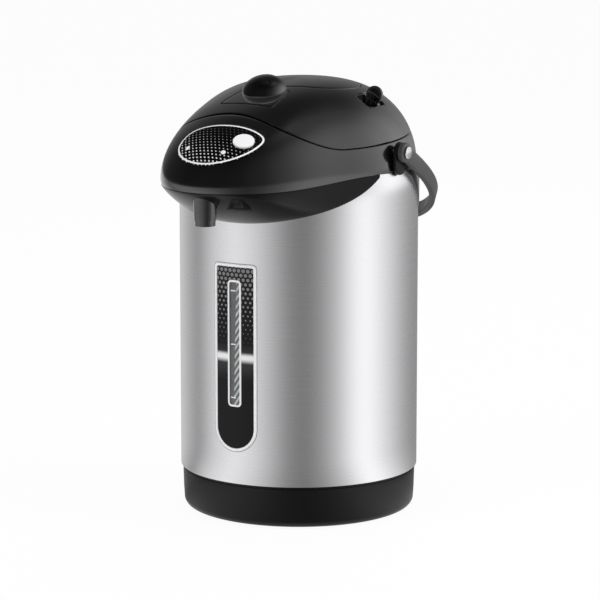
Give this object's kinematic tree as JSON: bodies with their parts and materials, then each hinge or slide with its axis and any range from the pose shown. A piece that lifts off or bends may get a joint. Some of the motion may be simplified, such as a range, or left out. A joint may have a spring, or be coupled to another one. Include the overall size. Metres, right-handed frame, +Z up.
{
  "type": "electric thermo pot",
  "caption": "Upright steel water boiler with a beaked black pump lid that hinges up, a front level gauge, a push button, a spout and a swinging bail handle.",
  "frame": {"origin": "centre of the round footprint, on the surface the pot stands on, which is the face of the middle foot", "axes": "+Z up along the body's axis, -Y towards the spout and the control panel, +X to the pot's left as it faces the user"},
  "size_m": [0.2154, 0.2909, 0.3605],
  "materials": {
    "black_gloss": "gloss",
    "black_satin": "satin",
    "handle_grey": "fine grain",
    "steel_skin": "brushed round the body",
    "pot_steel": "satin",
    "bright_steel": "turned",
    "motor_steel": "plain",
    "heater_metal": "cast",
    "foot_rubber": "matt",
    "bellows_rubber": "matt",
    "silicone": "matt",
    "inner_plastic": "moulded",
    "gauge_rim": "white",
    "gauge_black": "printed",
    "clear": "clear",
    "key_white": "white",
    "board_green": "laminate",
    "board_black": "moulded",
    "fuse_white": "ceramic"
  },
  "bodies": {
    "root": {"base_ring": "black_satin", "base_plate": "black_satin", "base_feet": "foot_rubber", "base_screws": "bright_steel", "chassis": "inner_plastic", "power_inlet": "black_satin", "inlet_pins": "bright_steel", "control_board": "board_green", "board_parts": "board_black", "pump_motor": "motor_steel", "pump_housing": "inner_plastic", "heater_plate": "heater_metal", "thermostat": "motor_steel", "thermal_fuse": "fuse_white", "inner_pot": "pot_steel", "lower_hose": "silicone", "sight_tube": "clear", "upper_hose": "silicone", "steel_body": "steel_skin", "gauge_frame": "gauge_rim", "gauge_panel": "gauge_black", "gauge_window": "clear", "mouth_ring": "black_satin", "pot_seal": "silicone", "collar": "black_gloss", "beak_tray": "black_gloss", "nozzle": "black_gloss", "rear_skirt": "black_gloss", "control_panel": "gauge_black", "lamp_lenses": "key_white", "panel_board": "board_green", "button_switch": "board_black", "hinge_bracket": "black_gloss", "hinge_pin": "bright_steel", "latch_keeper": "inner_plastic", "handle_brackets": "black_satin", "handle_screws": "bright_steel"},
    "pump_rotor": {"pump_impeller": "inner_plastic"},
    "dispense_key": {"dispense_button": "key_white"},
    "lid": {"lid_hinge_arm": "black_gloss", "lid_shell": "black_gloss", "lid_liner": "inner_plastic", "lid_seal": "silicone", "lid_frame": "inner_plastic", "lever_pin": "bright_steel", "lever_mount": "inner_plastic", "lever_spring": "bright_steel", "check_valve": "silicone", "lock_well": "black_gloss", "bellows": "bellows_rubber", "bellows_spring": "bright_steel"},
    "push": {"push_plate": "black_gloss", "plunger": "inner_plastic"},
    "lever": {"lid_lever": "black_gloss", "latch_hook": "inner_plastic"},
    "lock": {"lock_lever": "black_gloss", "lock_ring": "inner_plastic"},
    "bail": {"handle": "handle_grey"}
  },
  "joints": [
    {"name": "pump_spin", "type": "hinge", "parent": "root", "child": "pump_rotor", "pos_m": [0, -0.058, 0.022], "axis": [0, 0, 1], "continuous": true},
    {"name": "dispense_press", "type": "slide", "parent": "root", "child": "dispense_key", "axis": [-0.2993, 0.5592, -0.7732], "range_m": [0, 0.0012], "stiffness_N_per_m": 400, "springref_m": -0.002},
    {"name": "lid_hinge", "type": "hinge", "parent": "root", "child": "lid", "pos_m": [0, 0.099, 0.306], "axis": [-1, 0, 0], "range_deg": [0, 95]},
    {"name": "push_down", "type": "slide", "parent": "lid", "child": "push", "axis": [0, 0, -1], "range_m": [0, 0.018], "stiffness_N_per_m": 400, "springref_m": -0.015, "deforming": ["bellows", "bellows_spring"]},
    {"name": "lever_lift", "type": "hinge", "parent": "lid", "child": "lever", "pos_m": [0, -0.076, 0.33638], "axis": [1, 0, 0], "range_deg": [0, 15], "stiffness_Nm_per_rad": 0.03, "springref_deg": -34.38},
    {"name": "lock_turn", "type": "hinge", "parent": "lid", "child": "lock", "pos_m": [0, 0.004, 0.33], "axis": [0, 0, -1], "range_deg": [0, 9]},
    {"name": "handle_swing", "type": "hinge", "parent": "root", "child": "bail", "pos_m": [0, -0.008, 0.3], "axis": [1, 0, 0], "range_deg": [0, 125]}
  ]
}
